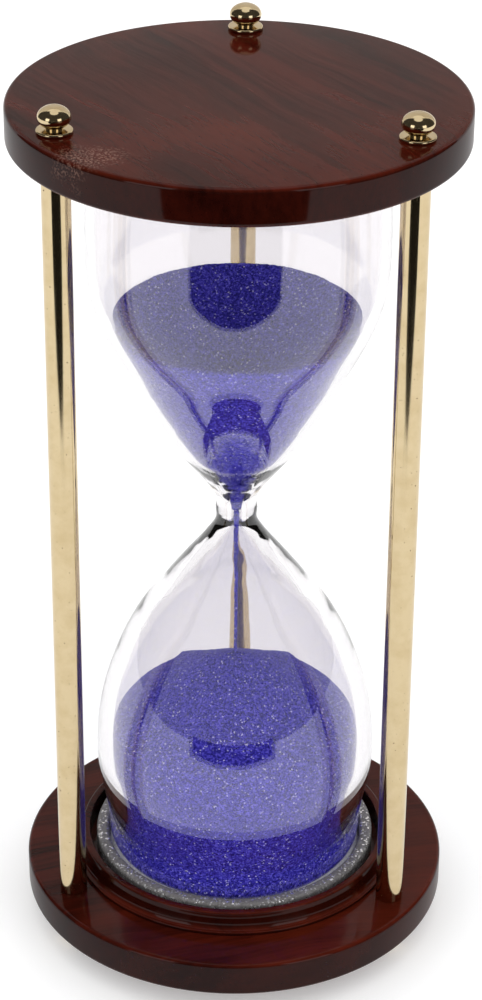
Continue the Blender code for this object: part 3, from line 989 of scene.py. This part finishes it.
class HOURGLASS_OT_knobs(bpy.types.Operator):
    """Make the ball knobs at both ends of the posts"""

    bl_idname = "hourglass.knobs"
    bl_label = "Knobs"

    def execute(self, context):
        metal = context.scene.hourglass_metal
        material = polished_brass("knob_brass", metal, (500, 500, 5200))
        bore = rod_bore()
        for kind, end in (("foot", "base"), ("top", "top")):
            out = -inwards(end)
            for name in POST_NAMES:
                node = f"{kind}_knob_{name}"
                seat = far_level(f"{end}_washer_{name}", out)
                tall = abs(far_level(node, out) - seat)
                radius = width(node) / 2
                neck = bore + metal.knob_neck_wall
                neck_tall = metal.knob_neck
                flat = metal.knob_flat / 2
                # The ball is a little flattened: its half-height comes from what is left over the neck.
                flat_share = math.sqrt(1 - (flat / radius) ** 2)
                neck_share = math.sqrt(1 - (neck / radius) ** 2)
                half = (tall - neck_tall) / (flat_share + neck_share)
                centre = neck_tall + half * neck_share
                start = -math.degrees(math.acos(neck / radius))
                finish = math.degrees(math.acos(flat / radius))
                ball = arc(0.0, 0.0, radius, start, finish, 40)
                outline = [(bore, 0.0), (neck, 0.0), (neck, neck_tall * 0.6)]
                outline += [(r, centre + z * half / radius) for r, z in ball]
                outline += [(flat * 0.5, tall), (0.0, tall)]
                # The blind hole ends in the cone that a drill leaves.
                hole = tall * KNOB_BORE_SHARE
                outline = [(0.0, hole), (bore * 0.98, hole - 0.0006), (bore, hole - 0.0007)] + outline
                mesh = revolve(node, from_level(outline, seat, out), 72, tuple(middle(node).xy))
                add_piece(f"{node}_brass", mesh, material, [node], body=node, sharp=50.0)
        return {"FINISHED"}


class HOURGLASS_OT_glass(bpy.types.Operator):
    """Blow the glass: two bulbs on one neck, with a real wall and a fill hole"""

    bl_idname = "hourglass.glass"
    bl_label = "Glass"

    def execute(self, context):
        glass = context.scene.hourglass_glass
        soft = context.scene.hourglass_soft
        lower, upper = Bulb(glass, soft, False), Bulb(glass, soft, True)
        hole = glass.fill_hole / 2
        outside = list(reversed(lower.outer_outline())) + upper.outer_outline()[1:]
        inside = list(reversed(upper.inner_outline())) + lower.inner_outline()[1:]
        end_top = upper.level(upper.length)
        floor_top = upper.level(upper.floor)
        across_end = between(outside[-1], (hole, end_top), 6)[1:]
        across_floor = between((hole, floor_top), inside[0], 6)
        outline = [(0.0, outside[0][1])] + outside + across_end + [(hole, end_top)] + across_floor
        outline += inside + [(0.0, inside[-1][1])]
        neck_level = lower.neck_level

        def blown(rows):
            """A slow wander of the surface, with small folds where the neck was pinched."""
            for row in range(rows.shape[0]):
                level = float(rows[row, 0, 2])
                reach = math.hypot(rows[row, 0, 0], rows[row, 0, 1])
                if reach < NEAR_AXIS:
                    continue
                pinch = math.exp(-((abs(level - neck_level) - 0.0085) / 0.0042) ** 2)
                for side in range(rows.shape[1]):
                    x, y = rows[row, side, 0], rows[row, side, 1]
                    slow = noise.noise(Vector((x * 55, y * 55, level * 38)))
                    folds = noise.noise(Vector((x * 420, y * 420, level * 520)))
                    move = glass.waviness * (slow + folds * pinch * 1.6)
                    rows[row, side, :2] *= 1 + move / reach
            return rows

        mesh = revolve("glass", outline, 256, stray=blown)
        add_piece("glass_blown", mesh, blown_glass(glass), ["glass"], sharp=60.0)
        return {"FINISHED"}


class HOURGLASS_OT_fill_plug(bpy.types.Operator):
    """Make the cork in the fill hole"""

    bl_idname = "hourglass.fill_plug"
    bl_label = "Fill plug"

    def execute(self, context):
        glass = context.scene.hourglass_glass
        bottom, top = low("fill_plug").z, high("fill_plug").z
        radius = width("fill_plug") / 2
        edge = PLUG_EDGE
        tip = radius * PLUG_TIP_SHARE
        outline = [(0.0, bottom)] + between((0.0006, bottom), (tip - edge, bottom), 6)
        outline += arc(tip - edge, bottom + edge, edge, -90, 0, 4)
        outline += between((tip, bottom + edge * 1.2), (radius, top - edge), 16)
        outline += arc(radius - edge, top - edge, edge, 0, 90, 4)
        outline += between((radius - edge * 1.2, top), (0.0006, top), 6) + [(0.0, top)]

        def pitted(rows):
            for row in range(rows.shape[0]):
                level = float(rows[row, 0, 2])
                for side in range(rows.shape[1]):
                    x, y = rows[row, side, 0], rows[row, side, 1]
                    pit = max(0.0, noise.noise(Vector((x, y, level)) * 900) - 0.15)
                    rows[row, side, :2] *= 1 - PLUG_PIT * pit
            return rows

        mesh = revolve("fill_plug", outline, 72, stray=pitted)
        add_piece("fill_plug_cork", mesh, bark_cork(glass), ["fill_plug"], sharp=60.0)
        return {"FINISHED"}


def grainy(relief_height, seed, keep_clear=None):
    """Moves every point of a surface in or out by a part of a grain."""

    def stray(rows):
        draw = np.random.default_rng(seed)
        reach = np.hypot(rows[:, :, 0], rows[:, :, 1])
        rough = draw.uniform(-1.0, 0.25, rows.shape[:2]) * relief_height
        lift = draw.uniform(-1.0, 1.0, rows.shape[:2]) * relief_height
        inner = np.clip(reach / 0.002, 0, 1)
        rows[:, :, :2] *= (1 + rough / np.maximum(reach, 0.0015))[:, :, None]
        rows[:, :, 2] += lift * inner
        if keep_clear is not None:
            rows = keep_clear(rows)
        return rows

    return stray


class HOURGLASS_OT_sand(bpy.types.Operator):
    """Make the sand in both bulbs and the thread that falls between them"""

    bl_idname = "hourglass.sand"
    bl_label = "Sand"

    def execute(self, context):
        glass = context.scene.hourglass_glass
        sand = context.scene.hourglass_sand
        soft = context.scene.hourglass_soft
        self.material = dyed_sand(sand)
        self.fill_upper(Bulb(glass, soft, True), sand)
        self.fill_lower(Bulb(glass, soft, False), sand)
        self.hang_thread(sand)
        return {"FINISHED"}

    def fill_upper(self, bulb, sand):
        rim_distance = high("upper_sand").z - bulb.neck_level
        rows = int(rim_distance / sand.step / 1.15)
        side = [(bulb.room(d, sand.gap), bulb.level(d)) for d in bulb.distances(rim_distance, rows)]
        rim_radius, rim_level = side[-1]
        depth = (rim_radius - 0.0006) * math.tan(sand.slope)
        steps = int(rim_radius / sand.step / 0.95)
        crater = []
        for i in range(1, steps + 1):
            t = i / steps
            # A narrow level lip, then a straight slope that steepens a little towards the hole.
            fall = max(0.0, t - 0.045) / 0.955
            level = rim_level + 0.0002 - depth * (fall + 0.035 * math.sin(math.pi * fall))
            crater.append((rim_radius * (1 - t), level))
        crater[-1] = (0.0, crater[-1][1])
        outline = [(0.0, side[0][1])] + side + crater

        def slumped(points):
            """Small runs of sand down the slope, and a lip that rises and falls a little."""
            first = 1 + len(side)
            for row in range(first, points.shape[0]):
                reach = float(np.hypot(points[row, 0, 0], points[row, 0, 1]))
                if reach < NEAR_AXIS:
                    continue
                for i in range(points.shape[1]):
                    x, y = points[row, i, 0], points[row, i, 1]
                    turn = math.atan2(y, x)
                    runs = noise.noise(Vector((math.cos(turn) * 26, math.sin(turn) * 26, reach * 60)))
                    slow = noise.noise(Vector((x * 90, y * 90, 3.1)))
                    fade = min(1.0, max(0.0, (rim_radius - reach) / 0.003)) * min(1.0, reach / 0.012)
                    points[row, i, 2] += 0.00034 * runs * fade + 0.00045 * slow * min(1.0, reach / 0.01)
            return points

        mesh = revolve("upper_sand", outline, 430, stray=grainy(sand.roughness, UPPER_SAND_SEED, slumped))
        add_piece("upper_sand_grains", mesh, self.material, ["upper_sand"], sharp=180.0)

    def fill_lower(self, bulb, sand):
        floor = bulb.floor - sand.gap
        rim_distance = bulb.floor - sand.depth
        rim_radius = bulb.room(rim_distance, sand.gap)
        tip_level = high("lower_sand").z
        rim_level = bulb.level(rim_distance)
        rows = int((floor - rim_distance) / sand.step / 1.05)
        base_radius = bulb.room(floor, sand.gap)
        bed = bulb.level(floor)
        bottom = [(0.0, bed)] + between((NEAR_AXIS, bed), (base_radius, bed), 12)
        side = []
        for i in range(rows + 1):
            distance = floor - (floor - rim_distance) * i / rows
            # The weight of the heap presses the lowest grains right against the glass.
            pressed = max(0.0, 1 - (floor - distance) / sand.pressed_depth)
            gap = sand.gap - 2 * sand.gap * math.sin(math.pi / 2 * pressed)
            side.append((bulb.room(distance, gap), bulb.level(distance)))
        steps = int(rim_radius / sand.step / 0.95)
        heap = []
        for i in range(1, steps + 1):
            t = i / steps
            # The tip is a little blunt where the thread lands.
            rise = t - 0.018 * max(0.0, (t - 0.9) / 0.1) ** 2
            heap.append((rim_radius * (1 - t), rim_level + (tip_level - rim_level) * rise))
        heap[-1] = (0.0, heap[-1][1])

        def settled(points):
            first = len(bottom) + len(side)
            for row in range(first, points.shape[0]):
                reach = float(np.hypot(points[row, 0, 0], points[row, 0, 1]))
                fade = min(1.0, reach / 0.008)
                for i in range(points.shape[1]):
                    x, y = points[row, i, 0], points[row, i, 1]
                    points[row, i, 2] += 0.0005 * noise.noise(Vector((x * 95, y * 95, 8.4))) * fade
            return points

        outline = bottom + side + heap
        mesh = revolve("lower_sand", outline, 420, stray=grainy(sand.roughness, LOWER_SAND_SEED, settled))
        add_piece("lower_sand_grains", mesh, self.material, ["lower_sand"], sharp=180.0)

    def hang_thread(self, sand):
        bottom, top = low("sand_stream").z - HIDDEN_OVERLAP, high("sand_stream").z
        radius = width("sand_stream") / 2
        rows = int((top - bottom) / sand.step / 0.9)
        outline = [(0.0, bottom)]
        for i in range(rows + 1):
            t = i / rows
            outline.append((radius * (0.62 + 0.38 * t ** 2), bottom + (top - bottom) * t))
        outline.append((0.0, top))

        def broken(points):
            draw = np.random.default_rng(THREAD_SEED)
            swell = draw.uniform(0.62, 1.08, points.shape[:2])
            points[:, :, :2] *= swell[:, :, None]
            return points

        mesh = revolve("sand_stream", outline, 14, stray=broken)
        add_piece("sand_stream_grains", mesh, self.material, ["sand_stream"], sharp=180.0)


# ---------------------------------------------------------------- stage


def dark_card(name, grey):
    """A plain, dull material for a card."""
    material, tree, shader = new_material(name)
    shader.inputs["Base Color"].default_value = (grey, grey * 0.95, grey * 0.9, 1.0)
    shader.inputs["Roughness"].default_value = 1.0
    shader.inputs["Specular IOR Level"].default_value = 0.0
    return material


def flag(name, corners, faces, material, through_glass=False):
    """A dark card that shows only in polished surfaces, or also to light that leaves the glass."""
    mesh = bpy.data.meshes.new(name)
    mesh.from_pydata(corners, [], faces)
    mesh.materials.append(material)
    card = bpy.data.objects.new(name, mesh)
    bpy.context.scene.collection.objects.link(card)
    card.visible_camera = False
    card.visible_diffuse = False
    card.visible_transmission = through_glass
    card.visible_shadow = False
    return card


def dome_patch(radius, azimuth, reach, bottom, top):
    """A patch of a dome round the hourglass. Angles are in degrees; azimuth 0 is towards the front."""
    corners, faces = [], []
    across, up = 36, 14
    for j in range(up + 1):
        rise = math.radians(bottom + (top - bottom) * j / up)
        for i in range(across + 1):
            turn = math.radians(azimuth - reach + 2 * reach * i / across)
            away = radius * math.cos(rise)
            corners.append((away * math.sin(turn), -away * math.cos(turn), radius * math.sin(rise)))
    for j in range(up):
        for i in range(across):
            k = j * (across + 1) + i
            faces.append((k, k + 1, k + across + 2, k + across + 1))
    return corners, faces


class HOURGLASS_OT_stage(bpy.types.Operator):
    """Set the floor, the lights, the surroundings and the camera"""

    bl_idname = "hourglass.stage"
    bl_label = "Stage"

    def execute(self, context):
        scene = context.scene
        stage = scene.hourglass_stage
        self.lay_floor(scene, stage)
        self.hang_lights(scene, stage)
        self.place_camera(scene, stage)
        scene.view_settings.view_transform = "Standard"
        return {"FINISHED"}

    def lay_floor(self, scene, stage):
        material, tree, shader = new_material("pale_floor")
        place = own_place(tree)
        tooth = cloud(tree, place, 90.0, 3.0, 0.6)
        tone = blend_colours(tree, tooth, tuple(0.985 * c for c in stage.floor_colour),
                             tuple(stage.floor_colour))
        connect(tree, shader.inputs["Base Color"], tone)
        shader.inputs["Roughness"].default_value = 0.9
        shader.inputs["Specular IOR Level"].default_value = 0.1
        shader.inputs["Emission Color"].default_value = (1.0, 1.0, 1.0, 1.0)
        shader.inputs["Emission Strength"].default_value = stage.floor_glow
        mesh = bpy.data.meshes.new("floor")
        half = 30.0
        corners = [(-half, -half, 0), (half, -half, 0), (half, half, 0), (-half, half, 0)]
        mesh.from_pydata(corners, [], [(0, 1, 2, 3)])
        mesh.materials.append(material)
        floor = bpy.data.objects.new("floor", mesh)
        scene.collection.objects.link(floor)

    def hang_lights(self, scene, stage):
        world = bpy.data.worlds.new("white_surroundings")
        world.use_nodes = True
        ground = world.node_tree.nodes["Background"]
        ground.inputs["Color"].default_value = (1.0, 1.0, 1.0, 1.0)
        ground.inputs["Strength"].default_value = stage.world_strength
        scene.world = world
        # The boxes light everything but the glass, where they would show as hard-edged windows.
        unlit = bpy.data.collections.new("not_lit_by_boxes")
        for item in scene.objects:
            if item.name == "glass_blown":
                unlit.objects.link(item)
        for member in unlit.collection_objects:
            member.light_linking.link_state = "EXCLUDE"
        aim = Vector((0.0, 0.0, 0.11))
        for name, azimuth in (("left_box", -40.0), ("right_box", 40.0)):
            turn, rise = math.radians(azimuth), math.radians(16.0)
            away = Vector((
                math.sin(turn) * math.cos(rise), -math.cos(turn) * math.cos(rise), math.sin(rise),
            ))
            lamp = bpy.data.lights.new(name, "AREA")
            lamp.shape = "RECTANGLE"
            lamp.size = 0.62
            lamp.size_y = 0.72
            lamp.energy = stage.box_power
            box = bpy.data.objects.new(name, lamp)
            box.location = aim + away * 1.5
            box.rotation_mode = "QUATERNION"
            box.rotation_quaternion = away.to_track_quat("Z", "Y")
            box.visible_camera = False
            box.light_linking.receiver_collection = unlit
            scene.collection.objects.link(box)
        # The cards: a dark one on the floor in front, a dark one all round and above, a grey one behind.
        outline = [
            (-0.055, -0.285), (0.055, -0.285), (0.22, -0.335), (1.2, -1.7), (-1.2, -1.7), (-0.22, -0.335),
        ]
        near = [(x, y, 0.004) for x, y in outline]
        flag("front_flag", near, [tuple(range(6))], dark_card("front_card", 0.012), through_glass=True)
        flag("room_flag", *dome_patch(1.9, 0.0, 125.0, 0.0, 73.0), dark_card("room_card", 0.05))
        flag("back_flag", *dome_patch(2.1, 180.0, 50.0, 6.0, 60.0), dark_card("back_card", 0.62))

    def place_camera(self, scene, stage):
        spin = Matrix.Rotation(stage.turn, 3, "Z")
        look = Vector((0.0, math.cos(stage.tilt), -math.sin(stage.tilt)))
        right = Vector((1.0, 0.0, 0.0))
        up = right.cross(look)
        leant_right = right * math.cos(stage.roll) + up * math.sin(stage.roll)
        leant_up = up * math.cos(stage.roll) - right * math.sin(stage.roll)
        axes = spin @ Matrix((leant_right, leant_up, -look)).transposed()
        level = low("base_plate").z + stage.height
        place = spin @ Vector((stage.side, -stage.distance, level))
        lens = bpy.data.cameras.new("camera")
        lens.lens = stage.lens
        lens.clip_start = 0.02
        lens.clip_end = 100.0
        camera = bpy.data.objects.new("camera", lens)
        camera.matrix_world = Matrix.Translation(place) @ axes.to_4x4()
        scene.collection.objects.link(camera)
        bpy.context.scene.camera = camera


# ---------------------------------------------------------------- panel and running


SETTINGS = {
    "hourglass_wood": HourglassWood,
    "hourglass_metal": HourglassMetal,
    "hourglass_glass": HourglassGlass,
    "hourglass_sand": HourglassSand,
    "hourglass_soft": HourglassSoft,
    "hourglass_stage": HourglassStage,
}
OPERATORS = (
    HOURGLASS_OT_plates, HOURGLASS_OT_rings, HOURGLASS_OT_gaskets, HOURGLASS_OT_pads, HOURGLASS_OT_posts,
    HOURGLASS_OT_tie_rods, HOURGLASS_OT_washers, HOURGLASS_OT_knobs, HOURGLASS_OT_glass,
    HOURGLASS_OT_fill_plug, HOURGLASS_OT_sand, HOURGLASS_OT_stage,
)


class HOURGLASS_PT_panel(bpy.types.Panel):
    """Lists the settings and the pieces"""

    bl_idname = "HOURGLASS_PT_panel"
    bl_label = "Hourglass"
    bl_space_type = "VIEW_3D"
    bl_region_type = "UI"
    bl_category = "Hourglass"

    def draw(self, context):
        layout = self.layout
        for operator in OPERATORS:
            layout.operator(operator.bl_idname)
        for attribute, group in SETTINGS.items():
            box = layout.box()
            box.label(text=group.__doc__)
            for setting in group.__annotations__:
                box.prop(getattr(context.scene, attribute), setting)


def register():
    for attribute, group in SETTINGS.items():
        bpy.utils.register_class(group)
        setattr(bpy.types.Scene, attribute, PointerProperty(type=group))
    for operator in OPERATORS:
        bpy.utils.register_class(operator)
    bpy.utils.register_class(HOURGLASS_PT_panel)


def unregister():
    bpy.utils.unregister_class(HOURGLASS_PT_panel)
    for operator in reversed(OPERATORS):
        bpy.utils.unregister_class(operator)
    for attribute, group in SETTINGS.items():
        delattr(bpy.types.Scene, attribute)
        bpy.utils.unregister_class(group)


def run_operator(operator):
    group, name = operator.bl_idname.split(".")
    getattr(getattr(bpy.ops, group), name)()


def main():
    register()
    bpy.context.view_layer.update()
    for operator in OPERATORS:
        run_operator(operator)


if __name__ == "__main__":
    main()
